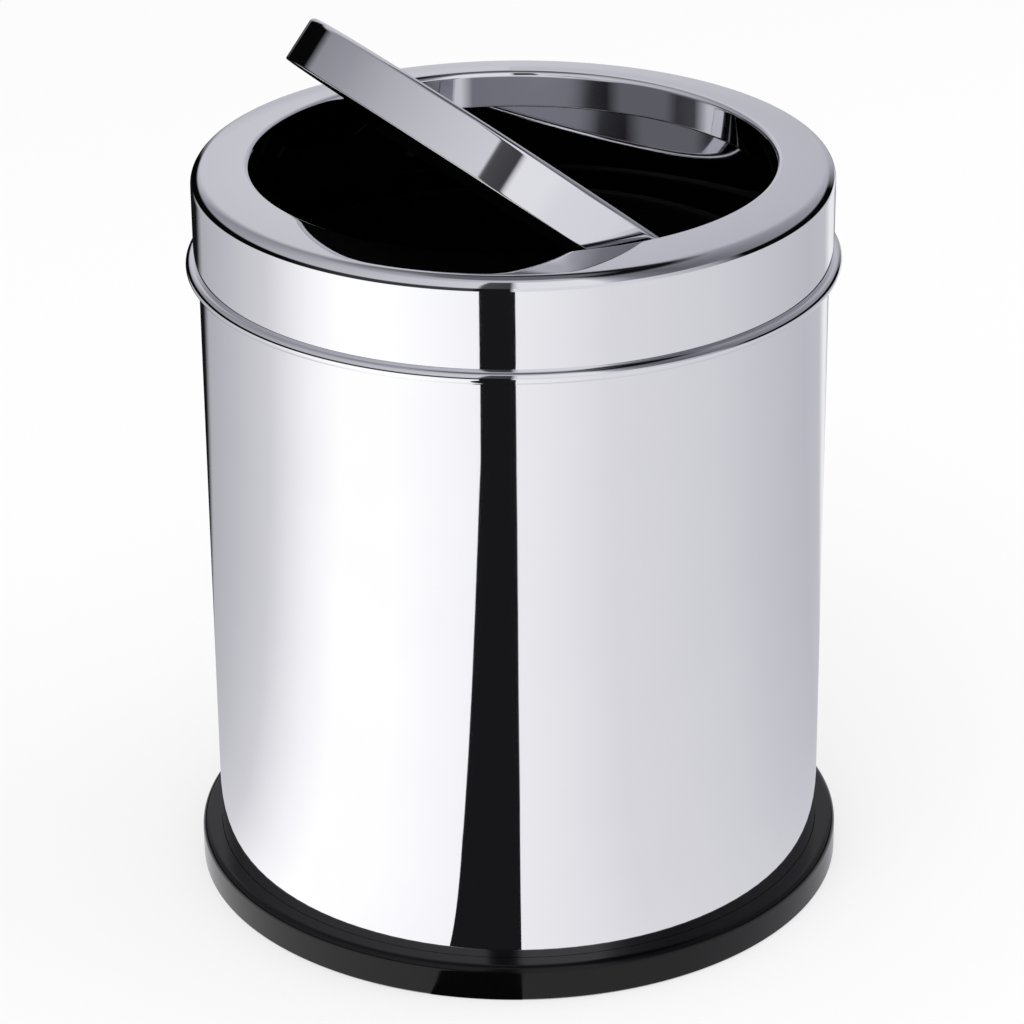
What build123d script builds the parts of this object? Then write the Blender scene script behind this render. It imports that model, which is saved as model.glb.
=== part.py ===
from build123d import *
from math import acos, cos, radians, sin, sqrt
import os

# Swing-lid bin: a polished steel tube on a black base ring, a lift-off steel collar that carries a
# tilting lid, and a lift-out inner bucket. Millimetres, +Z up, origin at the centre of the foot.
# The lid turns about an axis along Y, and stands open with its -X side raised.

os.makedirs("parts", exist_ok=True)

# Body tube
sheet = 0.6
body_radius = 98.6
body_top = 237.4
hem_width = 2.2
hem_height = 2.6
hem_round = 1.0
fold_round = 0.5
seam_width = 1.0
seam_depth = 0.15

# Base ring and floor
base_ledge = 6.4
base_height = 11.8
base_corner = 2.4
base_fit = 0.1
base_wall = 2.2
base_web = 2.2
base_lip_width = 8.6
base_lip_height = 2.4
base_edge_chamfer = 0.6
tube_seat_gap = 0.2
floor_height = 5.0
floor_step = 1.6
floor_step_radius = 60.0
floor_fit = 0.1
floor_flange = 2.2

# Collar
collar_clearance = 0.8
collar_seat_gap = 0.3
collar_drop = 31.9
collar_corner = 4.5
bead_radius = 2.1
bead_offset = 1.0
ring_width = 18.4
ring_crown = 90.0
lip_radius = 1.8
skirt_depth = 12.3
skirt_curl = 0.7

# Lid
lid_gap = 2.1
lid_depth = 15.2
lid_proud = 0.5
lid_corner = 1.6
lid_hem = 2.4
lid_tilt = 39.0
pivot_depth = 8.4
liner_fit = 0.3
liner_wall = 1.5
liner_rim = 6.0
liner_boss_width = 9.0
liner_boss_length = 7.0
liner_boss_height = 8.8
weight_end_gap = 2.7
weight_width = 16.0
weight_thick = 8.0
weight_fit = 0.4
weight_sink = 3.4
weight_screw_inset = 10.0
weight_screw_radius = 1.4
weight_screw_head = 2.8
weight_screw_head_thick = 1.3
weight_screw_reach = 1.2

# Pivot fasteners
screw_radius = 1.5
running_gap = 0.05
face_gap = 0.15
bush_wall = 0.95
bush_flange = 1.0
bush_flange_radius = 4.0
bush_snap = 0.6
bush_snap_radius = 2.9
bush_hole_fit = 0.1
screw_head_radius = 3.0
screw_head_thick = 1.5
screw_slot_width = 0.8
screw_slot_depth = 0.7
washer_radius = 3.5
washer_thick = 0.5
nut_flats = 5.5
nut_thick = 2.4
screw_tail = 1.0
spring_washer_sheet = 0.3

# Inner bucket and its bail
bucket_foot_gap = 0.4
bucket_top_gap = 30.0
bucket_wall = 1.5
bucket_rim_width = 3.2
bucket_rim_thick = 1.5
bucket_rim_drop = 12.0
bucket_taper = 7.8
bucket_foot_width = 9.0
bucket_foot_height = 2.4
bucket_corner = 5.0
bucket_edge_round = 1.3
bucket_mouth_round = 0.6
bail_wire = 1.5
bail_shell_gap = 0.4
bail_rim_gap = 1.0
bail_bend = 2.2
bail_drop = 6.0
bail_reach = 3.0
bail_rest_gap = 0.4
ear_width = 11.0
ear_height = 9.0

# Places worked out from the sizes above
body_inner = body_radius - sheet
hem_inner = body_radius - hem_width
tube_bottom = base_lip_height + tube_seat_gap
band_inner = body_radius + collar_clearance
band_outer = band_inner + sheet
corner_inside = collar_corner - sheet
nest_across = (body_radius - hem_round) - (band_inner - corner_inside)
nest_reach = corner_inside - hem_round - collar_seat_gap
corner_height = body_top - hem_round - sqrt(nest_reach**2 - nest_across**2)
opening_radius = band_outer - ring_width
crown_across = band_outer - collar_corner - opening_radius
crown_centre = corner_height - sqrt((ring_crown - collar_corner) ** 2 - crown_across**2)
collar_top = crown_centre + ring_crown
bead_height = collar_top - collar_drop
bead_centre = band_inner + bead_offset
skirt_bottom = collar_top - skirt_depth
lid_radius = opening_radius - lid_gap
pivot_height = collar_top + lid_proud - pivot_depth
lid_bottom = pivot_depth - lid_depth
bore_radius = screw_radius + running_gap
pan_inner = lid_radius - sheet
liner_radius = pan_inner - liner_fit
liner_base = lid_bottom + sheet
trough_floor = liner_base - weight_sink
weight_bottom = trough_floor + liner_wall
washer_inner = liner_radius - liner_boss_length - washer_thick
nut_inner = washer_inner - nut_thick
screw_end = nut_inner - screw_tail
weight_length = 2 * (screw_end - weight_end_gap)
weight_screw_spacing = weight_length - 2 * weight_screw_inset
bucket_bottom = floor_height + sheet + bucket_foot_gap
bucket_top = skirt_bottom - bucket_top_gap
bucket_height = bucket_top - bucket_bottom
bail_height = bucket_top - bail_drop
bail_radius = hem_inner - bail_shell_gap - bail_wire - bail_bend
rim_outer = bail_radius - bail_wire - bail_rim_gap
wall_top = rim_outer - bucket_rim_width
wall_bottom = wall_top - bucket_taper
bail_length = bail_bend + bail_radius
hang = 0.0
for _ in range(6):
    hang_depth = bail_drop + bail_length * sin(hang)
    hang_wall = wall_top - bucket_taper * hang_depth / bucket_height
    hang = acos((hang_wall + bail_wire + bail_rest_gap) / bail_length)

# Lid frame: its X runs down the tilted lid, and its Z is the lid's upward normal
tilt = radians(lid_tilt)
lid_x = (cos(tilt), 0, -sin(tilt))
lid_z = (sin(tilt), 0, cos(tilt))
pivot_point = (0, 0, pivot_height)
lid_plane = Plane(origin=pivot_point, x_dir=lid_x, z_dir=lid_z)
lid_section = Plane(origin=pivot_point, x_dir=lid_x, z_dir=(0, -1, 0))
lid_axis = Axis(pivot_point, lid_z)


def cross_plane(side, reach):
    """Plane square to the pivot axis, at reach along it, facing away from the lid's centre."""
    return Plane(origin=(0, side * reach, pivot_height), x_dir=lid_x, z_dir=(0, side, 0))


def axial_plane(side):
    """Plane that holds the pivot axis: its X runs down the lid, and its Y out towards that side."""
    return Plane(origin=pivot_point, x_dir=lid_x, z_dir=(side * sin(tilt), 0, side * cos(tilt)))


def crown_point(across, depth):
    """A point of the ring's crowned top, across it from the opening's edge and depth below its skin."""
    return (opening_radius + across, crown_centre + sqrt((ring_crown - depth) ** 2 - across**2))


def corner_near(sketch, x, y):
    """The sketch corner that lies nearest to a point of the sketch's own plane."""
    return sketch.vertices().sort_by_distance((x, y, 0))[0]


# Body tube: one rolled sheet with a welded seam at the back and a folded top edge
with BuildPart() as body_shell:
    with BuildSketch(Plane.XZ) as tube_profile:
        with BuildLine():
            Polyline(
                (body_inner, tube_bottom),
                (body_radius, tube_bottom),
                (body_radius, body_top),
                (hem_inner, body_top),
                (hem_inner, body_top - hem_height),
                (body_inner, body_top - hem_height),
                close=True,
            )
        make_face()
        fillet(corner_near(tube_profile, body_radius, body_top), hem_round)
        fillet(corner_near(tube_profile, hem_inner, body_top), hem_round)
    revolve(axis=Axis.Z)
    with BuildSketch(Plane.XY.offset(base_height)):
        with Locations((0, body_radius)):
            Rectangle(seam_width, 2 * seam_depth)
    extrude(amount=body_top - collar_drop - base_height, mode=Mode.SUBTRACT)
body_shell.part.label = "body_shell"
export_step(body_shell.part, "parts/body_shell.step")

# Floor: a pressed steel pan turned down at its edge, with a raised centre
with BuildPart() as floor_pan:
    floor_edge = body_inner - floor_fit
    with BuildSketch(Plane.XZ) as floor_profile:
        with BuildLine():
            Polyline(
                (0, floor_height + floor_step),
                (floor_step_radius, floor_height + floor_step),
                (floor_step_radius + floor_step, floor_height),
                (floor_edge - sheet, floor_height),
                (floor_edge - sheet, floor_height - floor_flange),
                (floor_edge, floor_height - floor_flange),
                (floor_edge, floor_height + sheet),
                (floor_step_radius + floor_step, floor_height + sheet),
                (floor_step_radius, floor_height + floor_step + sheet),
                (0, floor_height + floor_step + sheet),
                close=True,
            )
        make_face()
        fillet(corner_near(floor_profile, floor_edge, floor_height + sheet), fold_round)
    revolve(axis=Axis.Z)
floor_pan.part.label = "floor_pan"
export_step(floor_pan.part, "parts/floor_pan.step")

# Base ring: moulded black plastic, hollow underneath, with a lip that carries the tube's edge
with BuildPart() as base_ring:
    base_bore = body_radius + base_fit
    base_outer = body_radius + base_ledge
    with BuildSketch(Plane.XZ) as base_profile:
        with BuildLine():
            Polyline(
                (base_bore - base_lip_width, 0),
                (base_outer, 0),
                (base_outer, base_height),
                (base_bore, base_height),
                (base_bore, base_lip_height),
                (base_bore - base_lip_width, base_lip_height),
                close=True,
            )
        make_face()
        fillet(corner_near(base_profile, base_outer, base_height), base_corner)
        chamfer(corner_near(base_profile, base_outer, 0), base_edge_chamfer)
    revolve(axis=Axis.Z)
    with BuildSketch(Plane.XY):
        Circle(base_outer - base_wall)
        Circle(base_bore + base_web, mode=Mode.SUBTRACT)
    extrude(amount=base_height - base_wall, mode=Mode.SUBTRACT)
base_ring.part.label = "base_ring"
export_step(base_ring.part, "parts/base_ring.step")

# Collar: one spun sheet with an outer band, a crowned ring, an inner skirt and a rolled bead
with BuildPart() as collar_shell:
    with BuildSketch(Plane.XZ) as collar_profile:
        with BuildLine():
            Polyline(
                crown_point(0, 0),
                (opening_radius, skirt_bottom),
                (opening_radius + sheet, skirt_bottom),
                crown_point(sheet, sheet),
            )
            ThreePointArc(
                crown_point(sheet, sheet),
                crown_point(ring_width / 2, sheet),
                crown_point(ring_width - sheet, sheet),
            )
            Polyline(
                crown_point(ring_width - sheet, sheet),
                (band_inner, bead_height),
                (band_outer, bead_height),
                crown_point(ring_width, 0),
            )
            ThreePointArc(
                crown_point(ring_width, 0),
                crown_point(ring_width / 2, 0),
                crown_point(0, 0),
            )
        make_face()
        fillet(corner_near(collar_profile, *crown_point(ring_width, 0)), collar_corner)
        fillet(corner_near(collar_profile, *crown_point(ring_width - sheet, sheet)), corner_inside)
        fillet(corner_near(collar_profile, *crown_point(0, 0)), lip_radius)
        fillet(corner_near(collar_profile, *crown_point(sheet, sheet)), lip_radius - sheet)
        with Locations((bead_centre, bead_height)):
            Circle(bead_radius)
        with Locations((opening_radius + skirt_curl, skirt_bottom + skirt_curl)):
            Circle(skirt_curl)
        with Locations((band_inner - bead_radius, bead_height)):
            Rectangle(2 * bead_radius, 3 * bead_radius, mode=Mode.SUBTRACT)
    revolve(axis=Axis.Z)
    with BuildSketch(Plane.XZ.offset(-opening_radius - 2 * sheet)):
        with Locations((0, pivot_height)):
            Circle(bore_radius + bush_wall + bush_hole_fit)
    extrude(amount=2 * opening_radius + 4 * sheet, mode=Mode.SUBTRACT)
collar_shell.part.label = "collar_shell"
export_step(collar_shell.part, "parts/collar_shell.step")

# Lid pan: a pressed steel disc with a deep skirt, folded inwards along its lower edge
with BuildPart() as lid_pan:
    with BuildSketch(lid_section) as pan_profile:
        with BuildLine():
            Polyline(
                (0, pivot_depth),
                (lid_radius, pivot_depth),
                (lid_radius, lid_bottom),
                (lid_radius - lid_hem, lid_bottom),
                (lid_radius - lid_hem, lid_bottom + sheet),
                (pan_inner, lid_bottom + sheet),
                (pan_inner, pivot_depth - sheet),
                (0, pivot_depth - sheet),
                close=True,
            )
        make_face()
        fillet(corner_near(pan_profile, lid_radius, pivot_depth), lid_corner)
        fillet(corner_near(pan_profile, pan_inner, pivot_depth - sheet), lid_corner - sheet)
        fillet(corner_near(pan_profile, lid_radius, lid_bottom), fold_round)
    revolve(axis=lid_axis)
    with BuildSketch(cross_plane(1, -lid_radius - sheet)):
        Circle(bore_radius)
    extrude(amount=2 * (lid_radius + sheet), mode=Mode.SUBTRACT)
lid_pan.part.label = "lid_pan"
export_step(lid_pan.part, "parts/lid_pan.step")

# Lid liner: a moulded tray held by the pan's fold, with a trough for the weight and two bosses
with BuildPart() as lid_liner:
    with BuildSketch(lid_plane.offset(liner_base)):
        Circle(liner_radius)
    extrude(amount=liner_rim)
    with BuildSketch(lid_plane.offset(liner_base + liner_wall)):
        Circle(liner_radius - liner_wall)
    extrude(amount=liner_rim, mode=Mode.SUBTRACT)
    with BuildSketch(lid_plane.offset(trough_floor)):
        Rectangle(
            weight_width + 2 * (weight_fit + liner_wall),
            weight_length + 2 * (weight_fit + liner_wall),
        )
    extrude(amount=weight_sink + liner_wall)
    with BuildSketch(lid_plane.offset(weight_bottom)):
        Rectangle(weight_width + 2 * weight_fit, weight_length + 2 * weight_fit)
    extrude(amount=weight_sink + liner_wall, mode=Mode.SUBTRACT)
    for side in (-1, 1):
        boss_middle = side * (liner_radius - liner_boss_length / 2)
        with BuildSketch(lid_plane.offset(liner_base)):
            with Locations((0, boss_middle)):
                Rectangle(liner_boss_width, liner_boss_length)
        extrude(amount=liner_boss_height)
    with BuildSketch(lid_plane.offset(liner_base)):
        Circle(2 * liner_radius)
        Circle(liner_radius, mode=Mode.SUBTRACT)
    extrude(amount=2 * liner_boss_height, mode=Mode.SUBTRACT)
    with BuildSketch(lid_plane.offset(weight_bottom)):
        with GridLocations(0, weight_screw_spacing, 1, 2):
            Circle(weight_screw_radius + running_gap)
    extrude(amount=-2 * liner_wall, mode=Mode.SUBTRACT)
    with BuildSketch(cross_plane(1, -liner_radius - sheet)):
        Circle(bore_radius)
    extrude(amount=2 * (liner_radius + sheet), mode=Mode.SUBTRACT)
lid_liner.part.label = "lid_liner"
export_step(lid_liner.part, "parts/lid_liner.step")

# Lid weight: a flat steel bar in the trough that brings the lid's balance down to its pivots
with BuildPart() as lid_weight:
    with BuildSketch(lid_plane.offset(weight_bottom)):
        Rectangle(weight_width, weight_length)
        with GridLocations(0, weight_screw_spacing, 1, 2):
            Circle(weight_screw_radius + running_gap, mode=Mode.SUBTRACT)
    extrude(amount=weight_thick)
lid_weight.part.label = "lid_weight"
export_step(lid_weight.part, "parts/lid_weight.step")

# Weight screws: two pan-head screws up through the trough's floor into the bar
with BuildPart() as weight_screws:
    with BuildSketch(lid_plane.offset(trough_floor)):
        with GridLocations(0, weight_screw_spacing, 1, 2):
            Circle(weight_screw_radius)
    extrude(amount=liner_wall + weight_thick - weight_screw_reach)
    with BuildSketch(lid_plane.offset(trough_floor - weight_screw_head_thick)):
        with GridLocations(0, weight_screw_spacing, 1, 2):
            Circle(weight_screw_head)
    extrude(amount=weight_screw_head_thick)
weight_screws.part.label = "weight_screws"
export_step(weight_screws.part, "parts/weight_screws.step")

# Pivot sets: each screw runs from behind the collar's skirt, through its bush, into the lid's boss
flange_inner = opening_radius - face_gap - bush_flange
snap_start = opening_radius + sheet + face_gap
head_start = snap_start + bush_snap + face_gap
for place, side in (("front", -1), ("rear", 1)):
    # Bush: nylon, clipped into the collar's skirt by a flange and a snap rim
    with BuildPart() as pivot_bush:
        with BuildSketch(cross_plane(side, flange_inner)):
            Circle(bush_flange_radius)
        extrude(amount=bush_flange)
        with BuildSketch(cross_plane(side, flange_inner + bush_flange)):
            Circle(bore_radius + bush_wall)
        extrude(amount=snap_start - flange_inner - bush_flange)
        with BuildSketch(cross_plane(side, snap_start)):
            Circle(bush_snap_radius)
        extrude(amount=bush_snap)
        with BuildSketch(cross_plane(side, flange_inner)):
            Circle(bore_radius)
        extrude(amount=snap_start + bush_snap - flange_inner, mode=Mode.SUBTRACT)
    pivot_bush.part.label = f"pivot_bush_{place}"
    export_step(pivot_bush.part, f"parts/pivot_bush_{place}.step")

    # Screw: slotted round head behind the skirt, and a plain shank that is the lid's axle
    with BuildPart() as pivot_screw:
        with BuildSketch(cross_plane(side, screw_end)):
            Circle(screw_radius)
        extrude(amount=head_start + screw_head_thick / 2 - screw_end)
        with BuildSketch(cross_plane(side, head_start)):
            Circle(screw_head_radius)
        extrude(amount=screw_head_thick)
        with BuildSketch(cross_plane(side, head_start + screw_head_thick - screw_slot_depth)):
            Rectangle(3 * screw_head_radius, screw_slot_width)
        extrude(amount=2 * screw_slot_depth, mode=Mode.SUBTRACT)
    pivot_screw.part.label = f"pivot_screw_{place}"
    export_step(pivot_screw.part, f"parts/pivot_screw_{place}.step")

    # Spring washer: a coned steel ring that fills the gap between the lid and the bush
    with BuildPart() as spring_washer:
        washer_reach = lid_radius + face_gap
        washer_high = flange_inner - face_gap
        bore = bore_radius + running_gap
        wide = bush_flange_radius - face_gap
        with BuildSketch(axial_plane(side)) as cone_profile:
            with BuildLine():
                Polyline(
                    (bore, washer_reach),
                    (bore, washer_reach + spring_washer_sheet),
                    (wide, washer_high),
                    (wide, washer_high - spring_washer_sheet),
                    close=True,
                )
            make_face()
        revolve(axis=Axis(pivot_point, (0, 1, 0)))
    spring_washer.part.label = f"spring_washer_{place}"
    export_step(spring_washer.part, f"parts/spring_washer_{place}.step")

    # Plain washer and nut: they clamp the screw to the liner's boss
    with BuildPart() as plain_washer:
        with BuildSketch(cross_plane(side, washer_inner)):
            Circle(washer_radius)
            Circle(bore_radius, mode=Mode.SUBTRACT)
        extrude(amount=washer_thick)
    plain_washer.part.label = f"plain_washer_{place}"
    export_step(plain_washer.part, f"parts/plain_washer_{place}.step")

    with BuildPart() as pivot_nut:
        with BuildSketch(cross_plane(side, nut_inner)):
            RegularPolygon(nut_flats / 2, 6, major_radius=False)
            Circle(bore_radius, mode=Mode.SUBTRACT)
        extrude(amount=nut_thick)
    pivot_nut.part.label = f"pivot_nut_{place}"
    export_step(pivot_nut.part, f"parts/pivot_nut_{place}.step")

# Inner bucket: tapered black plastic with a foot ring, a turned-down rim and two ears
with BuildPart() as inner_bucket:
    with BuildSketch(Plane.XZ) as bucket_profile:
        with BuildLine():
            Polyline(
                (0, bucket_bottom + bucket_foot_height),
                (wall_bottom - bucket_foot_width, bucket_bottom + bucket_foot_height),
                (wall_bottom - bucket_foot_width, bucket_bottom),
                (wall_bottom, bucket_bottom),
                (wall_top, bucket_top - bucket_rim_thick),
                (rim_outer - bucket_wall, bucket_top - bucket_rim_thick),
                (rim_outer - bucket_wall, bucket_top - bucket_rim_drop),
                (rim_outer, bucket_top - bucket_rim_drop),
                (rim_outer, bucket_top),
                (wall_top - bucket_wall, bucket_top),
                (wall_bottom - bucket_wall, bucket_bottom + bucket_foot_height + bucket_wall),
                (0, bucket_bottom + bucket_foot_height + bucket_wall),
                close=True,
            )
        make_face()
        fillet(corner_near(bucket_profile, wall_bottom, bucket_bottom), bucket_wall)
        fillet(
            corner_near(
                bucket_profile,
                wall_bottom - bucket_wall,
                bucket_bottom + bucket_foot_height + bucket_wall,
            ),
            bucket_corner,
        )
        fillet(corner_near(bucket_profile, rim_outer, bucket_top), bucket_edge_round)
        fillet(corner_near(bucket_profile, wall_top - bucket_wall, bucket_top), bucket_mouth_round)
    revolve(axis=Axis.Z)
    ear_low = bail_height - ear_height / 2
    with BuildSketch(Plane.XY.offset(ear_low)):
        with GridLocations(2 * (wall_top - bucket_wall / 2 + bucket_rim_width / 2), 0, 2, 1):
            Rectangle(bucket_rim_width + bucket_wall, ear_width)
        Circle(wall_top - bucket_wall / 2, mode=Mode.SUBTRACT)
        Circle(rim_outer - bucket_wall / 2, mode=Mode.INTERSECT)
    extrude(amount=bucket_top - bucket_rim_thick / 2 - ear_low)
    with BuildSketch(Plane.YZ.offset(-rim_outer - bucket_wall)):
        with Locations((0, bail_height)):
            Circle(bail_wire + running_gap)
    extrude(amount=2 * (rim_outer + bucket_wall), mode=Mode.SUBTRACT)
inner_bucket.part.label = "inner_bucket"
export_step(inner_bucket.part, "parts/inner_bucket.step")

# Bail: a bent wire whose ends turn in through the bucket's ears, hanging down the front
bail_plane = Plane(origin=(0, 0, bail_height), x_dir=(1, 0, 0), z_dir=(0, sin(hang), -cos(hang)))
bail_end = wall_top - bucket_wall - bail_reach
with BuildPart() as bucket_bail:
    with BuildLine(bail_plane):
        Line((-bail_end, 0), (bail_bend - bail_radius, 0))
        RadiusArc((bail_bend - bail_radius, 0), (-bail_radius, bail_bend), bail_bend)
        ThreePointArc(
            (-bail_radius, bail_bend), (0, bail_bend + bail_radius), (bail_radius, bail_bend)
        )
        RadiusArc((bail_radius, bail_bend), (bail_radius - bail_bend, 0), bail_bend)
        Line((bail_radius - bail_bend, 0), (bail_end, 0))
    with BuildSketch(Plane(origin=(-bail_end, 0, bail_height), z_dir=(-1, 0, 0))):
        Circle(bail_wire)
    sweep()
bucket_bail.part.label = "bucket_bail"
export_step(bucket_bail.part, "parts/bucket_bail.step")
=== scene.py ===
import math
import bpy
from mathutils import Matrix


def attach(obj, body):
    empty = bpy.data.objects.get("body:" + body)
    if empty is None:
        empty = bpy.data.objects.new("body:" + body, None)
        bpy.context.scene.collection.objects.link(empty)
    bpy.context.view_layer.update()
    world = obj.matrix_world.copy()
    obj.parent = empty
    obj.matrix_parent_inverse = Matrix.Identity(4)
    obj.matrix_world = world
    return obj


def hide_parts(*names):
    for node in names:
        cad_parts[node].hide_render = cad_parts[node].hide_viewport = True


bl_info = {
    "name": "Swing-Lid Bin",
    "version": (1, 0, 0),
    "blender": (4, 5, 0),
    "location": "View3D > Sidebar > Swing Bin",
    "description": "Finishes a polished swing-lid bin and lights it in a white studio",
    "category": "Object",
}

import bmesh
import bpy
from bpy.props import FloatProperty, FloatVectorProperty, PointerProperty, StringProperty
from mathutils import Matrix, Vector

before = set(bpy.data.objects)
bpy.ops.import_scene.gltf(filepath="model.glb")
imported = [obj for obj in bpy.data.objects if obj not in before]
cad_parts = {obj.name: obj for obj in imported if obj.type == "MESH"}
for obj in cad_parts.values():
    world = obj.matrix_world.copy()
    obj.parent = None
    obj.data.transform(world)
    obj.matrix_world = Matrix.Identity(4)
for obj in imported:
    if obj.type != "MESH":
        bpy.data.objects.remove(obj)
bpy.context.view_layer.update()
MM = 0.001

# Collar, in millimetres
SHEET = 0.6
BAND_RADIUS = 100.0
RING_WIDTH = 18.4
OPENING_RADIUS = BAND_RADIUS - RING_WIDTH
RING_TOP = 240.5045
RING_CROWN = 90.0
CORNER_RADIUS = 4.5
LIP_RADIUS = 1.8
BAND_DEPTH = 31.9
BEAD_OFFSET = 0.4
BEAD_RADIUS = 2.1
SKIRT_DEPTH = 12.3
CURL_RADIUS = 0.7
PIVOT_HEIGHT = RING_TOP - 7.9
BUSH_HOLE = 2.6

# Lid pan as it lies closed, in millimetres from the pivot axis, and the tilt that it rests at
LID_TILT = math.radians(39.0)
LID_RADIUS = 79.5
LID_TOP = 8.4
LID_BOTTOM = -6.8
LID_HEM = 2.4
LID_CORNER = 1.6
LID_FOLD = 0.5
LID_HOLE = 1.55

# Base ring, in millimetres
BASE_RADIUS = 105.0
BASE_HEIGHT = 11.8
BASE_CORNER = 2.4
BASE_CHAMFER = 0.6
BASE_BORE = 98.7
BASE_LIP_RADIUS = 90.1
BASE_LIP_HEIGHT = 2.4
HOLLOW_OUTER = 102.8
HOLLOW_INNER = 100.9
HOLLOW_HEIGHT = 9.6

# Fineness of the turned pieces: faces all round, degrees per face along a section's round stretches, the
# points that hold straight ones flat in millimetres, the weld in metres, and the angle from which an edge
# stays sharp
TURNS = 288
CROWN_STEP = 0.5
CROWN_INSIDE_STEP = 1.0
CORNER_STEP = 3.0
ROUND_STEP = 6.0
LID_INSIDE_STEP = 10.0
CURL_STEP = 12.0
FOLD_STEP = 15.0
HELD_MARGIN = 0.2
HELD_LENGTH = 1.5
WELD = 1e-7
DRILL_FACES = 48
SHARP_EDGE = math.radians(25.0)

# Surface patterns, in millimetres. Real polishing marks are finer than a tenth of a millimetre, which is
# too fine to show, so they're drawn coarser.
HAZE_SIZE = 30.0
POLISH_MARKS = 0.8
WAVE_LENGTH = 25.0
WAVE_DEPTH = 0.03
PLATE_CLOUDS = 6.0
NYLON_CLOUDS = 2.0

# Studio: the floor's own glow for the camera, and each soft lamp's name, place and side in metres, and power
# in watts
FLOOR_GLOW = 0.6
FLOOR_SIDES = 96
SENSOR_WIDTH = 36.0
LAMPS = (
    ("key_softbox", (-0.9, -0.7, 1.5), 1.2, 8.0),
    ("fill_softbox", (1.1, -0.4, 1.2), 1.2, 4.0),
)
LAMP_AIM = Vector((0, 0, 0.12))

# Cards that the steel mirrors: a grey by direction, in degrees round the bin from the camera's side. The
# floor has its own out to its far edge. From there the horizon's, the sky's and the high sky's follow.
STRIPE = "#17171A"
OVERHEAD = "#606066"
FLOOR_STOPS = (
    (-180, "#101012"),
    (-147, "#141416"),
    (-139, "#A8A8AE"),
    (-115, "#B8B8BE"),
    (-92, "#CCCCD0"),
    (-72, "#F2F2F4"),
    (-60, "#FFFFFF"),
    (-40, "#FFFFFF"),
    (-20, "#F6F6F8"),
    (-13, "#F2F2F4"),
    (0, "#EAEAEC"),
    (16, "#E1E1E4"),
    (31, "#D6D6DA"),
    (50, "#D2D2D6"),
    (70, "#CDCDD2"),
    (89, "#C4C4CA"),
    (121, "#B6B6BE"),
    (138, "#B8B8BE"),
    (146, "#E4E4E8"),
    (154, "#DCDCE0"),
    (160, "#707074"),
    (180, "#707074"),
)
HORIZON_STOPS = (
    (-180, "#C0C0C6"),
    (-170, "#B0B0B8"),
    (-163, "#060607"),
    (-84, "#060607"),
    (-60, "#303034"),
    (-14.0, "#3C3C40"),
    (-13.0, STRIPE),
    (-1.0, STRIPE),
    (0.0, "#D8D8DE"),
    (40, "#D0D0D6"),
    (70, "#A0A0A8"),
    (84, "#060607"),
    (145, "#060607"),
    (158, "#A0A0A8"),
    (180, "#C0C0C6"),
)
SKY_STOPS = (
    (-180, "#C4C4CA"),
    (-165, "#BEBEC4"),
    (-140, "#86868E"),
    (-113, "#94949C"),
    (-82, "#ABABB2"),
    (-40, "#BEBEC4"),
    (-12.0, "#C8C8CE"),
    (-11.2, "#46464A"),
    (-1.0, "#3A3A3E"),
    (0.5, "#DCDCE0"),
    (30, "#DCDCE0"),
    (36, "#A0A0A8"),
    (44, "#74747C"),
    (60, "#5C5C64"),
    (100, "#7C7C84"),
    (140, "#90909A"),
    (165, "#B0B0B8"),
    (180, "#B8B8C0"),
)
HIGH_STOPS = (
    (-180, "#2C2C30"),
    (-165, "#48484E"),
    (-100, "#909098"),
    (0, "#B8B8C0"),
    (36, "#A8A8B0"),
    (48, "#2A2A2E"),
    (60, "#0E0E10"),
    (100, "#0E0E10"),
    (150, "#1A1A1D"),
    (180, "#2C2C30"),
)

# Where the cards change: the floor stripe's taper in metres and its edges in degrees, the floor's far edge
# in metres, and the heights over the horizon in degrees
STRIPE_TAPER = (0.19, 0.5)
STRIPE_LEFT = (-15.7, -11.3)
STRIPE_RIGHT = 0.3
FLOOR_FAR = (1.15, 1.35)
HORIZON_TOP = (9, 14)
HIGH_START = (54, 62)
OVERHEAD_START = (71, 77)


def linear(hex_colour):
    """Turns an sRGB hex colour into the linear RGBA that a shader socket takes."""
    channels = [int(hex_colour[i : i + 2], 16) / 255 for i in (1, 3, 5)]
    return [c / 12.92 if c <= 0.04045 else ((c + 0.055) / 1.055) ** 2.4 for c in channels] + [1.0]


def add_node(tree, kind, links=(), **settings):
    """Adds a node: links are (input, source socket) pairs, settings its properties or its inputs."""
    node = tree.nodes.new(kind)
    for name, value in settings.items():
        if hasattr(node, name):
            setattr(node, name, value)
        else:
            node.inputs[name.replace("_", " ")].default_value = value
    for socket, source in links:
        tree.links.new(source, node.inputs[socket])
    return node


def new_material(name):
    """A material with a bare Principled surface: returns the material, its tree and the shader."""
    material = bpy.data.materials.new(name)
    material.use_nodes = True
    tree = material.node_tree
    tree.nodes.clear()
    shader = add_node(tree, "ShaderNodeBsdfPrincipled")
    add_node(tree, "ShaderNodeOutputMaterial", [("Surface", shader.outputs["BSDF"])])
    return material, tree, shader


def finish_nodes(material, *names):
    """Gives a material to CAD nodes."""
    for name in names:
        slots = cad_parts[name].data.materials
        slots.clear()
        slots.append(material)


def arc(centre, radius, start, end, step):
    """Points along a round stretch of an outline: angles in degrees, 0 pointing outwards and 90 up."""
    count = max(2, round(abs(end - start) / step) + 1)
    angles = [math.radians(start + (end - start) * i / (count - 1)) for i in range(count)]
    return [(centre[0] + radius * math.cos(a), centre[1] + radius * math.sin(a)) for a in angles]


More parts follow.
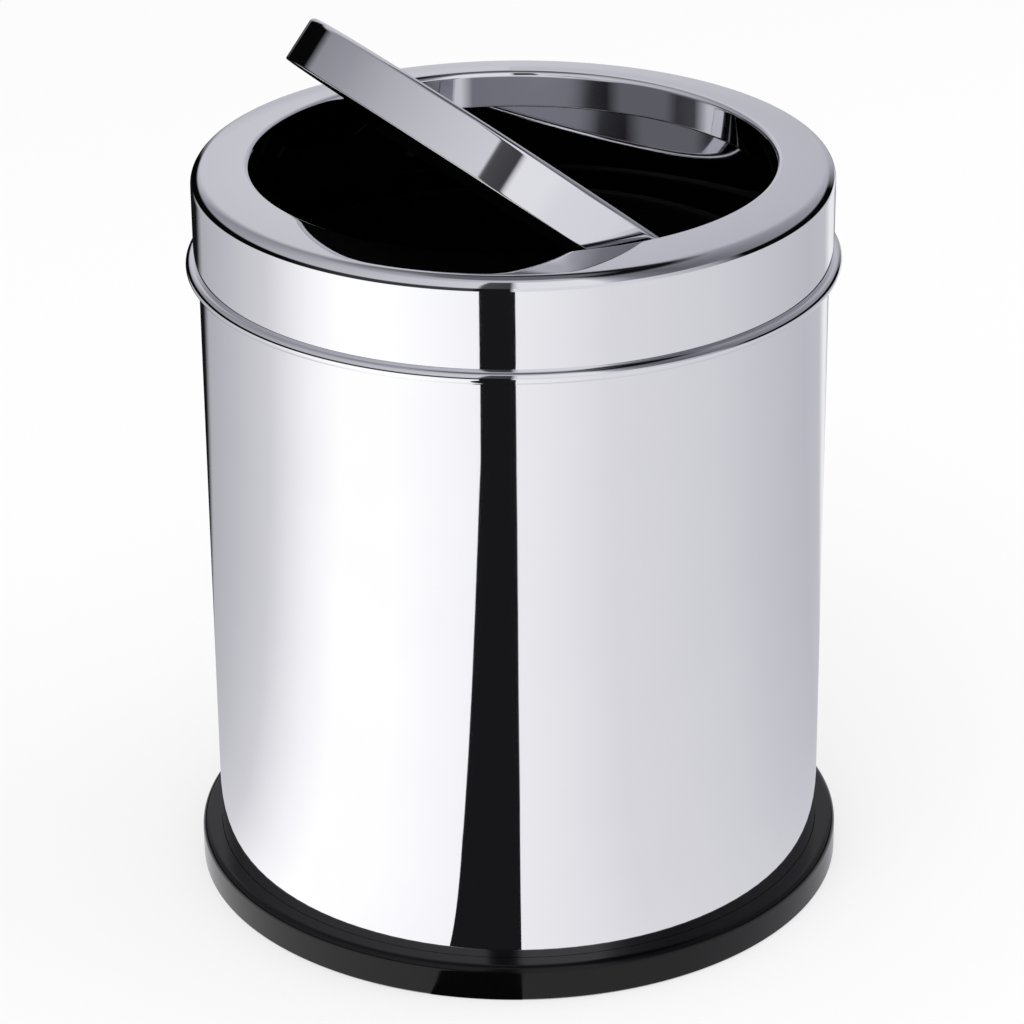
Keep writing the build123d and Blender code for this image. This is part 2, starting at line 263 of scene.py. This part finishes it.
def held(outline):
    """Adds points near both ends of each long straight stretch, to keep it flat under smooth shading."""
    points = []
    for here, there in zip(outline, outline[1:] + outline[:1]):
        points.append(here)
        length = math.dist(here, there)
        if length > HELD_LENGTH and max(here[0], there[0]) > 0:
            for share in (HELD_MARGIN / length, 1 - HELD_MARGIN / length):
                points.append(tuple(a + (b - a) * share for a, b in zip(here, there)))
    return points


def spun_mesh(name, outline):
    """Turns a closed outline of (radius, height) points round the Z axis."""
    points = held(outline)
    form = bmesh.new()
    rings = []
    for k in range(TURNS):
        a = 2 * math.pi * k / TURNS
        across, along = math.cos(a) * MM, math.sin(a) * MM
        rings.append([form.verts.new((r * across, r * along, z * MM)) for r, z in points])
    for here, there in zip(rings, rings[1:] + rings[:1]):
        for i in range(len(points)):
            j = (i + 1) % len(points)
            if max(points[i][0], points[j][0]) > 0:
                form.faces.new((here[i], there[i], there[j], here[j]))
    bmesh.ops.remove_doubles(form, verts=form.verts, dist=WELD)
    bmesh.ops.recalc_face_normals(form, faces=form.faces)
    mesh = bpy.data.meshes.new(name)
    form.to_mesh(mesh)
    form.free()
    return mesh


def drill_across(piece, radius, height):
    """Drills a hole along Y through both sides of a piece."""
    bpy.ops.mesh.primitive_cylinder_add(
        vertices=DRILL_FACES,
        radius=radius * MM,
        depth=2 * (OPENING_RADIUS + 2 * SHEET) * MM,
        location=(0, 0, height * MM),
        rotation=(math.pi / 2, 0, 0),
    )
    drill = bpy.context.object
    cut = piece.modifiers.new("pivot_holes", "BOOLEAN")
    cut.operation = "DIFFERENCE"
    cut.solver = "EXACT"
    cut.object = drill
    bpy.context.view_layer.update()
    result = piece.evaluated_get(bpy.context.evaluated_depsgraph_get())
    drilled = bpy.data.meshes.new_from_object(result)
    piece.modifiers.clear()
    piece.data = drilled
    bpy.data.objects.remove(drill)


def shade_smooth(mesh):
    """Shades a mesh smooth, apart from its sharp edges."""
    form = bmesh.new()
    form.from_mesh(mesh)
    for edge in form.edges:
        edge.smooth = len(edge.link_faces) == 2 and edge.calc_face_angle() < SHARP_EDGE
    for face in form.faces:
        face.smooth = True
    form.to_mesh(mesh)
    form.free()


def turned_piece(name, outline, material, hole=None, place=Matrix.Identity(4)):
    """One round piece: spun from its outline, drilled for its pivots, put in place and shaded."""
    piece = bpy.data.objects.new(name, spun_mesh(name, outline))
    bpy.context.scene.collection.objects.link(piece)
    if hole:
        drill_across(piece, *hole)
    piece.data.transform(place)
    shade_smooth(piece.data)
    piece.data.materials.clear()
    piece.data.materials.append(material)
    return piece


def rolled_inside(crown, radius, across):
    """A round that runs smoothly into the ring's crown: its centre, and the angle where the two meet."""
    reach = RING_CROWN - radius
    centre = (crown[0] + across, crown[1] + math.sqrt(reach**2 - across**2))
    return centre, math.degrees(math.acos(across / reach))


def collar_outline():
    """The collar's section: crowned ring, rounded corner, band, rolled bead, and skirt with its curl."""
    crown = (OPENING_RADIUS, RING_TOP - RING_CROWN)
    lip, crown_start = rolled_inside(crown, LIP_RADIUS, LIP_RADIUS)
    corner, crown_end = rolled_inside(crown, CORNER_RADIUS, RING_WIDTH - CORNER_RADIUS)
    bead = (BAND_RADIUS + BEAD_OFFSET, RING_TOP - BAND_DEPTH)
    bead_start = math.degrees(math.acos(-BEAD_OFFSET / BEAD_RADIUS))
    bead_end = math.degrees(math.acos(-(BEAD_OFFSET + SHEET) / BEAD_RADIUS))
    curl = (OPENING_RADIUS + CURL_RADIUS, RING_TOP - SKIRT_DEPTH + CURL_RADIUS)
    curl_start = math.degrees(math.acos((SHEET - CURL_RADIUS) / CURL_RADIUS))
    return [
        *arc(lip, LIP_RADIUS, 180, crown_start, ROUND_STEP),
        *arc(crown, RING_CROWN, crown_start, crown_end, CROWN_STEP)[1:],
        *arc(corner, CORNER_RADIUS, crown_end, 0, CORNER_STEP)[1:],
        *arc(bead, BEAD_RADIUS, bead_start, -bead_end, ROUND_STEP),
        *arc(corner, CORNER_RADIUS - SHEET, 0, crown_end, ROUND_STEP),
        *arc(crown, RING_CROWN - SHEET, crown_end, crown_start, CROWN_INSIDE_STEP)[1:],
        *arc(lip, LIP_RADIUS - SHEET, crown_start, 180, CURL_STEP)[1:],
        *arc(curl, CURL_RADIUS, curl_start, -180, CURL_STEP),
    ]


def lid_outline():
    """The lid pan's section: flat disc, rounded corner, deep skirt and the fold along its edge."""
    inside = LID_RADIUS - SHEET
    corner = (LID_RADIUS - LID_CORNER, LID_TOP - LID_CORNER)
    fold = (LID_RADIUS - LID_FOLD, LID_BOTTOM + LID_FOLD)
    return [
        (0.0, LID_TOP),
        *arc(corner, LID_CORNER, 90, 0, ROUND_STEP),
        *arc(fold, LID_FOLD, 0, -90, FOLD_STEP),
        (LID_RADIUS - LID_HEM, LID_BOTTOM),
        (LID_RADIUS - LID_HEM, LID_BOTTOM + SHEET),
        (inside, LID_BOTTOM + SHEET),
        *arc(corner, LID_CORNER - SHEET, 0, 90, LID_INSIDE_STEP),
        (0.0, LID_TOP - SHEET),
    ]


def base_outline():
    """The base ring's section: rounded ledge, chamfered foot, hollow underside and lip under the tube."""
    corner = (BASE_RADIUS - BASE_CORNER, BASE_HEIGHT - BASE_CORNER)
    return [
        *arc(corner, BASE_CORNER, 90, 0, ROUND_STEP),
        (BASE_RADIUS, BASE_CHAMFER),
        (BASE_RADIUS - BASE_CHAMFER, 0.0),
        (HOLLOW_OUTER, 0.0),
        (HOLLOW_OUTER, HOLLOW_HEIGHT),
        (HOLLOW_INNER, HOLLOW_HEIGHT),
        (HOLLOW_INNER, 0.0),
        (BASE_LIP_RADIUS, 0.0),
        (BASE_LIP_RADIUS, BASE_LIP_HEIGHT),
        (BASE_BORE, BASE_LIP_HEIGHT),
        (BASE_BORE, BASE_HEIGHT),
    ]


class SteelSettings(bpy.types.PropertyGroup):
    """Finish of the steel pieces."""

    polish_colour: StringProperty(
        name="Polished steel", description="Colour of the mirror polish", default="#F2F2F4"
    )
    polish_shade: StringProperty(
        name="Polish haze", description="The polish where it's hazed", default="#EDEDF0"
    )
    polish_roughness: FloatProperty(
        name="Polish roughness", description="Blur of the mirror polish", default=0.03, min=0.0, max=1.0
    )
    zinc_colour: StringProperty(
        name="Zinc plate", description="Colour of the plated steel", default="#C2C4C6"
    )
    zinc_shade: StringProperty(
        name="Zinc cloud", description="The plate's darker clouds", default="#A2A4A8"
    )
    black_zinc_colour: StringProperty(
        name="Black zinc plate", description="Colour of the weight screws", default="#1A1A1C"
    )
    black_zinc_shade: StringProperty(
        name="Black zinc cloud", description="The black plate's darker clouds", default="#0E0E10"
    )


class PlasticSettings(bpy.types.PropertyGroup):
    """Finish of the plastic pieces."""

    black_colour: StringProperty(
        name="Black polypropylene", description="Colour of the black mouldings", default="#070708"
    )
    black_shade: StringProperty(
        name="Black shade", description="The mouldings' deeper tone", default="#040405"
    )
    nylon_colour: StringProperty(name="Nylon", description="Colour of the pivot bushes", default="#E3E0D6")
    nylon_shade: StringProperty(
        name="Nylon shade", description="The bushes' deeper tone", default="#D8D4C8"
    )


class StudioSettings(bpy.types.PropertyGroup):
    """Floor, light and camera."""

    floor_colour: StringProperty(name="Floor", description="Colour of the floor", default="#F4F4F4")
    floor_radius: FloatProperty(
        name="Floor radius", description="Reach of the floor", default=6.0, unit="LENGTH"
    )
    camera_azimuth: FloatProperty(
        name="Camera azimuth",
        description="Turn of the camera round the bin",
        default=math.radians(-28.7),
        unit="ROTATION",
    )
    camera_elevation: FloatProperty(
        name="Camera elevation", description="Height angle of the camera", default=0.4348, unit="ROTATION"
    )
    camera_distance: FloatProperty(
        name="Camera distance", description="From the target to the camera", default=1.3016, unit="LENGTH"
    )
    camera_roll: FloatProperty(
        name="Camera roll", description="Turn about the view axis", default=-0.0094, unit="ROTATION"
    )
    camera_lens: FloatProperty(
        name="Lens", description="Focal length on a 36 mm sensor, in millimetres", default=141.92
    )
    target: FloatVectorProperty(
        name="Target",
        description="Point that the camera looks at",
        default=(-0.00114, 0.00063, 0.11903),
        unit="LENGTH",
    )
    world_level: FloatProperty(
        name="World level", description="Strength of the soft light all round", default=0.9
    )
    card_level: FloatProperty(
        name="Card level", description="Strength of what the bin mirrors", default=1.15
    )


def toned_noise(tree, size, detail, shade, colour):
    """Soft clouds of a size in millimetres, as their strength and as a colour between two hex tones."""
    place = add_node(tree, "ShaderNodeTexCoord").outputs["Object"]
    clouds = add_node(tree, "ShaderNodeTexNoise", [("Vector", place)], Scale=1 / (size * MM), Detail=detail)
    tone = add_node(tree, "ShaderNodeValToRGB", [("Fac", clouds.outputs["Fac"])])
    for element, hex_colour in zip(tone.color_ramp.elements, (shade, colour)):
        element.color = linear(hex_colour)
    return clouds.outputs["Fac"], tone.outputs["Color"]


def polished_steel(settings):
    """Bright annealed stainless sheet, mirror polished: near-sharp reflections, faintly wavy and hazed."""
    material, tree, shader = new_material("polished_stainless_sheet")
    shader.inputs["Metallic"].default_value = 1.0
    _, tone = toned_noise(tree, HAZE_SIZE, 3.0, settings.polish_shade, settings.polish_colour)
    tree.links.new(tone, shader.inputs["Base Color"])
    place = add_node(tree, "ShaderNodeTexCoord").outputs["Object"]
    marks = add_node(
        tree, "ShaderNodeTexNoise", [("Vector", place)], Scale=1 / (POLISH_MARKS * MM), Detail=2.0
    )
    blur = add_node(
        tree,
        "ShaderNodeMapRange",
        [("Value", marks.outputs["Fac"])],
        To_Min=0.5 * settings.polish_roughness,
        To_Max=1.5 * settings.polish_roughness,
    )
    tree.links.new(blur.outputs["Result"], shader.inputs["Roughness"])
    wave = add_node(
        tree, "ShaderNodeTexNoise", [("Vector", place)], Scale=1 / (WAVE_LENGTH * MM), Detail=0.0
    )
    bump = add_node(
        tree, "ShaderNodeBump", [("Height", wave.outputs["Fac"])], Strength=1.0, Distance=WAVE_DEPTH * MM
    )
    tree.links.new(bump.outputs["Normal"], shader.inputs["Normal"])
    return material


def plated_steel(name, shade, colour):
    """Mild steel, electroplated: softly cloudy, with a dull sheen."""
    material, tree, shader = new_material(name)
    shader.inputs["Metallic"].default_value = 1.0
    clouds, tone = toned_noise(tree, PLATE_CLOUDS, 4.0, shade, colour)
    tree.links.new(tone, shader.inputs["Base Color"])
    blur = add_node(tree, "ShaderNodeMapRange", [("Value", clouds)], To_Min=0.3, To_Max=0.46)
    tree.links.new(blur.outputs["Result"], shader.inputs["Roughness"])
    return material


def bright_zinc(settings):
    """Clear zinc plate on pressed and turned steel: pale grey."""
    return plated_steel("zinc_plated_steel", settings.zinc_shade, settings.zinc_colour)


def black_zinc(settings):
    """Black zinc plate on the weight screws: near black, so that they don't show under the lid."""
    return plated_steel("black_zinc_plated_steel", settings.black_zinc_shade, settings.black_zinc_colour)


def black_skin(name, settings, roughness, grain, depth, specular):
    """Black plastic, its highlights broken up by a skin whose grain and depth are in millimetres."""
    material, tree, shader = new_material(name)
    skin, tone = toned_noise(tree, grain, 3.0, settings.black_shade, settings.black_colour)
    tree.links.new(tone, shader.inputs["Base Color"])
    blur = add_node(
        tree, "ShaderNodeMapRange", [("Value", skin)], To_Min=0.75 * roughness, To_Max=1.25 * roughness
    )
    tree.links.new(blur.outputs["Result"], shader.inputs["Roughness"])
    bump = add_node(tree, "ShaderNodeBump", [("Height", skin)], Strength=1.0, Distance=depth * MM)
    tree.links.new(bump.outputs["Normal"], shader.inputs["Normal"])
    shader.inputs["Specular IOR Level"].default_value = specular
    return material


def glossy_black(settings):
    """Black polypropylene, moulded in a polished mould: deep black with clear highlights."""
    name = "glossy_black_polypropylene"
    return black_skin(name, settings, roughness=0.14, grain=0.5, depth=0.002, specular=0.28)


def satin_black(settings):
    """Black polypropylene, moulded in a grained mould: deep black that hardly shines."""
    name = "satin_black_polypropylene"
    return black_skin(name, settings, roughness=0.6, grain=0.4, depth=0.01, specular=0.02)


def black_vinyl(settings):
    """Black vinyl, dipped on the bail's wire: soft, slightly uneven shine."""
    name = "black_vinyl_coating"
    return black_skin(name, settings, roughness=0.35, grain=0.8, depth=0.01, specular=0.3)


def nylon(settings):
    """Natural nylon, moulded: waxy off-white that lets a little light in."""
    material, tree, shader = new_material("natural_nylon")
    clouds, tone = toned_noise(tree, NYLON_CLOUDS, 2.0, settings.nylon_shade, settings.nylon_colour)
    tree.links.new(tone, shader.inputs["Base Color"])
    blur = add_node(tree, "ShaderNodeMapRange", [("Value", clouds)], To_Min=0.4, To_Max=0.52)
    tree.links.new(blur.outputs["Result"], shader.inputs["Roughness"])
    shader.inputs["Subsurface Weight"].default_value = 0.1
    shader.inputs["Subsurface Scale"].default_value = MM
    return material


class SWING_BIN_OT_shells(bpy.types.Operator):
    """Turn the polished collar and lid, and finish the tube"""

    bl_idname = "swing_bin.shells"
    bl_label = "Steel shells"

    def execute(self, context):
        steel = polished_steel(context.scene.swing_steel)
        finish_nodes(steel, "body_shell")
        collar = turned_piece("collar_sheet", collar_outline(), steel, (BUSH_HOLE, PIVOT_HEIGHT))
        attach(collar, "collar")
        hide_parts("collar_shell")
        tipped = Matrix.Translation((0, 0, PIVOT_HEIGHT * MM)) @ Matrix.Rotation(LID_TILT, 4, "Y")
        lid = turned_piece("lid_sheet", lid_outline(), steel, (LID_HOLE, 0.0), tipped)
        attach(lid, "lid")
        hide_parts("lid_pan")
        return {"FINISHED"}


class SWING_BIN_OT_hardware(bpy.types.Operator):
    """Finish the floor pan, the weight and the fasteners"""

    bl_idname = "swing_bin.hardware"
    bl_label = "Plated hardware"

    def execute(self, context):
        steel = context.scene.swing_steel
        finish_nodes(black_zinc(steel), "weight_screws")
        zinc = bright_zinc(steel)
        finish_nodes(zinc, "floor_pan", "lid_weight")
        for place in ("front", "rear"):
            for fastener in ("pivot_screw", "plain_washer", "pivot_nut", "spring_washer"):
                finish_nodes(zinc, f"{fastener}_{place}")
        return {"FINISHED"}


class SWING_BIN_OT_plastic(bpy.types.Operator):
    """Turn the base ring, and finish the bucket, its bail, the lid's liner and the bushes"""

    bl_idname = "swing_bin.plastic"
    bl_label = "Plastic pieces"

    def execute(self, context):
        plastic = context.scene.swing_plastic
        base = turned_piece("base_moulding", base_outline(), glossy_black(plastic))
        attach(base, "bin_body")
        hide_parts("base_ring")
        finish_nodes(satin_black(plastic), "inner_bucket", "lid_liner")
        finish_nodes(black_vinyl(plastic), "bucket_bail")
        finish_nodes(nylon(plastic), "pivot_bush_front", "pivot_bush_rear")
        return {"FINISHED"}


def direction_share(degrees):
    """A direction from -180 to 180 degrees, as 0 to 1."""
    return (degrees + 180) / 360


def azimuth_share(tree, vector, turn):
    """Direction round the bin's axis from the camera's side, as 0 to 1, and the vector's height."""
    turned = add_node(
        tree, "ShaderNodeVectorRotate", [("Vector", vector)], rotation_type="Z_AXIS", Angle=-turn
    )
    split = add_node(tree, "ShaderNodeSeparateXYZ", [("Vector", turned.outputs["Vector"])])
    back = add_node(tree, "ShaderNodeMath", [(0, split.outputs["Y"])], operation="MULTIPLY")
    back.inputs[1].default_value = -1.0
    angle = add_node(
        tree, "ShaderNodeMath", [(0, split.outputs["X"]), (1, back.outputs["Value"])], operation="ARCTAN2"
    )
    share = add_node(
        tree, "ShaderNodeMapRange", [("Value", angle.outputs["Value"])], From_Min=-math.pi, From_Max=math.pi
    )
    return share.outputs["Result"], split.outputs["Z"]


def card_ramp(tree, share, stops):
    """Grey of the studio's cards by direction."""
    ramp = add_node(tree, "ShaderNodeValToRGB", [("Fac", share)])
    elements = ramp.color_ramp.elements
    while len(elements) > 1:
        elements.remove(elements[-1])
    for i, (degrees, colour) in enumerate(stops):
        position = direction_share(degrees)
        element = elements[0] if i == 0 else elements.new(position)
        element.position = position
        element.color = linear(colour)
    return ramp.outputs["Color"]


def fade(tree, value, stretch, before, after):
    """Goes from one colour to another as a value crosses a stretch."""
    start, end = stretch
    share = add_node(tree, "ShaderNodeMapRange", [("Value", value)], From_Min=start, From_Max=end)
    mix = add_node(tree, "ShaderNodeMix", data_type="RGBA")
    tree.links.new(share.outputs["Result"], mix.inputs["Factor"])
    for socket, colour in ((6, before), (7, after)):
        if isinstance(colour, str):
            mix.inputs[socket].default_value = linear(colour)
        else:
            tree.links.new(colour, mix.inputs[socket])
    return mix.outputs[2]


def floor_cards(tree, turn):
    """Colour of the floor's cards: a tapering dark stripe in front, and the horizon's greys far out."""
    position = add_node(tree, "ShaderNodeNewGeometry").outputs["Position"]
    share, _ = azimuth_share(tree, position, turn)
    reach = add_node(tree, "ShaderNodeVectorMath", [(0, position)], operation="LENGTH").outputs["Value"]
    left = add_node(
        tree,
        "ShaderNodeMapRange",
        [("Value", reach)],
        From_Min=STRIPE_TAPER[0],
        From_Max=STRIPE_TAPER[1],
        To_Min=direction_share(STRIPE_LEFT[0]),
        To_Max=direction_share(STRIPE_LEFT[1]),
    )
    past_left = add_node(
        tree, "ShaderNodeMath", [(0, share), (1, left.outputs["Result"])], operation="GREATER_THAN"
    )
    before_right = add_node(tree, "ShaderNodeMath", [(0, share)], operation="LESS_THAN")
    before_right.inputs[1].default_value = direction_share(STRIPE_RIGHT)
    stripe = add_node(
        tree,
        "ShaderNodeMath",
        [(0, past_left.outputs["Value"]), (1, before_right.outputs["Value"])],
        operation="MULTIPLY",
    )
    striped = fade(tree, stripe.outputs["Value"], (0, 1), card_ramp(tree, share, FLOOR_STOPS), STRIPE)
    return fade(tree, reach, FLOOR_FAR, striped, card_ramp(tree, share, HORIZON_STOPS))


def sky_cards(tree, turn):
    """Colour of the sky's cards, from the horizon to overhead."""
    direction = add_node(tree, "ShaderNodeTexCoord").outputs["Generated"]
    share, rise = azimuth_share(tree, direction, turn)
    colour = card_ramp(tree, share, HORIZON_STOPS)
    steps = (
        (HORIZON_TOP, card_ramp(tree, share, SKY_STOPS)),
        (HIGH_START, card_ramp(tree, share, HIGH_STOPS)),
        (OVERHEAD_START, OVERHEAD),
    )
    for heights, above in steps:
        colour = fade(tree, rise, [math.sin(math.radians(h)) for h in heights], colour, above)
    return colour


class SWING_BIN_OT_stage(bpy.types.Operator):
    """Build the floor, the light and the camera"""

    bl_idname = "swing_bin.stage"
    bl_label = "Studio"

    def execute(self, context):
        studio = context.scene.swing_studio
        self.floor(studio)
        self.world(context.scene, studio)
        self.lamps(context.scene)
        self.camera(context.scene, studio)
        return {"FINISHED"}

    def floor(self, studio):
        bpy.ops.mesh.primitive_circle_add(
            vertices=FLOOR_SIDES, radius=studio.floor_radius, fill_type="NGON"
        )
        floor = bpy.context.object
        floor.name = "studio_floor"
        material = bpy.data.materials.new("white_studio_sweep")
        material.use_nodes = True
        tree = material.node_tree
        tree.nodes.clear()
        paint = add_node(tree, "ShaderNodeBsdfDiffuse", Color=linear(studio.floor_colour))
        white = add_node(tree, "ShaderNodeEmission", Color=(1, 1, 1, 1), Strength=1.0)
        colour = floor_cards(tree, studio.camera_azimuth)
        cards = add_node(tree, "ShaderNodeEmission", [("Color", colour)], Strength=studio.card_level)
        path = add_node(tree, "ShaderNodeLightPath").outputs
        glow = add_node(tree, "ShaderNodeMath", [(0, path["Is Camera Ray"])], operation="MULTIPLY")
        glow.inputs[1].default_value = FLOOR_GLOW
        seen = add_node(
            tree,
            "ShaderNodeMixShader",
            [("Fac", glow.outputs["Value"]), (1, paint.outputs[0]), (2, white.outputs[0])],
        )
        both = add_node(
            tree,
            "ShaderNodeMixShader",
            [("Fac", path["Is Glossy Ray"]), (1, seen.outputs[0]), (2, cards.outputs[0])],
        )
        add_node(tree, "ShaderNodeOutputMaterial", [("Surface", both.outputs[0])])
        floor.data.materials.append(material)

    def world(self, scene, studio):
        world = bpy.data.worlds.new("white_studio")
        scene.world = world
        world.use_nodes = True
        tree = world.node_tree
        tree.nodes.clear()
        soft = add_node(tree, "ShaderNodeBackground", Color=(1, 1, 1, 1), Strength=studio.world_level)
        white = add_node(tree, "ShaderNodeBackground", Color=(1, 1, 1, 1), Strength=1.0)
        colour = sky_cards(tree, studio.camera_azimuth)
        cards = add_node(tree, "ShaderNodeBackground", [("Color", colour)], Strength=studio.card_level)
        path = add_node(tree, "ShaderNodeLightPath").outputs
        seen = add_node(
            tree,
            "ShaderNodeMixShader",
            [("Fac", path["Is Camera Ray"]), (1, soft.outputs[0]), (2, white.outputs[0])],
        )
        both = add_node(
            tree,
            "ShaderNodeMixShader",
            [("Fac", path["Is Glossy Ray"]), (1, seen.outputs[0]), (2, cards.outputs[0])],
        )
        add_node(tree, "ShaderNodeOutputWorld", [("Surface", both.outputs[0])])

    def lamps(self, scene):
        for name, place, side, power in LAMPS:
            light = bpy.data.lights.new(name, "AREA")
            light.size = side
            light.energy = power
            lamp = bpy.data.objects.new(name, light)
            lamp.location = place
            lamp.rotation_euler = (Vector(place) - LAMP_AIM).to_track_quat("Z", "Y").to_euler()
            lamp.visible_glossy = False
            scene.collection.objects.link(lamp)

    def camera(self, scene, studio):
        turn, rise = studio.camera_azimuth, studio.camera_elevation
        back = Vector((math.sin(turn) * math.cos(rise), -math.cos(turn) * math.cos(rise), math.sin(rise)))
        lens = bpy.data.cameras.new("photo_camera")
        lens.lens = studio.camera_lens
        lens.sensor_width = SENSOR_WIDTH
        camera = bpy.data.objects.new("photo_camera", lens)
        camera.location = Vector(studio.target) + back * studio.camera_distance
        look = (-back).to_track_quat("-Z", "Y").to_matrix() @ Matrix.Rotation(studio.camera_roll, 3, "Z")
        camera.rotation_euler = look.to_euler()
        scene.collection.objects.link(camera)
        scene.camera = camera
        scene.view_settings.view_transform = "Standard"


class SWING_BIN_PT_panel(bpy.types.Panel):
    """Lists the bin's steps in the sidebar"""

    bl_idname = "SWING_BIN_PT_panel"
    bl_label = "Swing-Lid Bin"
    bl_space_type = "VIEW_3D"
    bl_region_type = "UI"
    bl_category = "Swing Bin"

    def draw(self, context):
        for step in STEPS:
            self.layout.operator(step.bl_idname)


STEPS = (SWING_BIN_OT_shells, SWING_BIN_OT_hardware, SWING_BIN_OT_plastic, SWING_BIN_OT_stage)
GROUPS = {"swing_steel": SteelSettings, "swing_plastic": PlasticSettings, "swing_studio": StudioSettings}


def register():
    for cls in (*GROUPS.values(), *STEPS, SWING_BIN_PT_panel):
        bpy.utils.register_class(cls)
    for name, group in GROUPS.items():
        setattr(bpy.types.Scene, name, PointerProperty(type=group))


def unregister():
    for name in GROUPS:
        delattr(bpy.types.Scene, name)
    for cls in (SWING_BIN_PT_panel, *reversed(STEPS), *reversed(GROUPS.values())):
        bpy.utils.unregister_class(cls)


def main():
    register()
    bpy.ops.swing_bin.shells()
    bpy.ops.swing_bin.hardware()
    bpy.ops.swing_bin.plastic()
    bpy.ops.swing_bin.stage()


if __name__ == "__main__":
    main()
